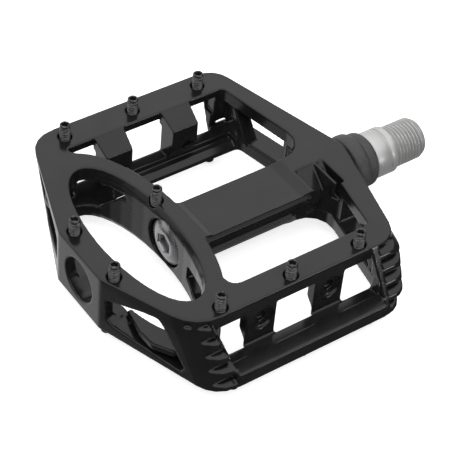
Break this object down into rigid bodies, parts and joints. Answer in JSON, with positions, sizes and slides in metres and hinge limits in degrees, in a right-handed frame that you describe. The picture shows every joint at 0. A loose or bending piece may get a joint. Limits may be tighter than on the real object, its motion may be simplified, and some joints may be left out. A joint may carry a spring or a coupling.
{
  "type": "flat bicycle pedal",
  "caption": "Flat bicycle pedal: cast platform with threaded grip pins on both treads, turning on a threaded spindle with a boot, bush and ball bearing.",
  "frame": {"origin": "middle of the pedal's bounding box, which lies on the spindle's axis", "axes": "+X along the spindle towards the crank, +Z out of the upper tread, +Y to the upper tread's long side"},
  "size_m": [0.1308, 0.1064, 0.031],
  "materials": {
    "black_casting": "gloss black paint over a cast surface",
    "spindle_steel": "turned bright steel",
    "bearing_steel": "ground",
    "cage_brass": "pressed cage with steel balls",
    "bush_bronze": "sintered bronze",
    "seal_rubber": "moulded black rubber",
    "zinc_steel": "zinc plated",
    "cap_aluminium": "turned aluminium",
    "pin_steel": "black oxide"
  },
  "bodies": {
    "spindle": {"spindle": "spindle_steel", "bearing_inner_race": "bearing_steel", "lock_washer": "zinc_steel", "lock_nut": "zinc_steel"},
    "platform": {"pedal_body": "black_casting", "end_cap": "cap_aluminium", "cap_sealing_ring": "seal_rubber", "inboard_bush": "bush_bronze", "bearing_outer_race": "bearing_steel", "bearing_shield_inboard": "seal_rubber", "bearing_shield_outboard": "seal_rubber", "rubber_boot": "seal_rubber", "pin_upper_long_rail_outboard": "pin_steel", "pin_upper_long_rail_middle": "pin_steel", "pin_upper_long_rail_inboard": "pin_steel", "pin_upper_short_rail_outboard": "pin_steel", "pin_upper_short_rail_middle": "pin_steel", "pin_upper_short_rail_inboard": "pin_steel", "pin_upper_end_long_side": "pin_steel", "pin_upper_end_short_side": "pin_steel", "pin_upper_ring_wall": "pin_steel", "pin_lower_long_rail_outboard": "pin_steel", "pin_lower_long_rail_middle": "pin_steel", "pin_lower_long_rail_inboard": "pin_steel", "pin_lower_short_rail_outboard": "pin_steel", "pin_lower_short_rail_middle": "pin_steel", "pin_lower_short_rail_inboard": "pin_steel", "pin_lower_end_long_side": "pin_steel", "pin_lower_end_short_side": "pin_steel"},
    "ball_cage": {"bearing_ball_cage": "cage_brass"}
  },
  "joints": [
    {"name": "platform_spin", "type": "hinge", "parent": "spindle", "child": "platform", "pos_m": [0, 0, 0], "axis": [1, 0, 0], "continuous": true},
    {"name": "cage_spin", "type": "hinge", "parent": "spindle", "child": "ball_cage", "pos_m": [-0.02425, 0, 0], "axis": [1, 0, 0], "continuous": true}
  ],
  "couplings": [
    {"joint": "cage_spin", "follows": "platform_spin", "ratio": 0.595}
  ]
}
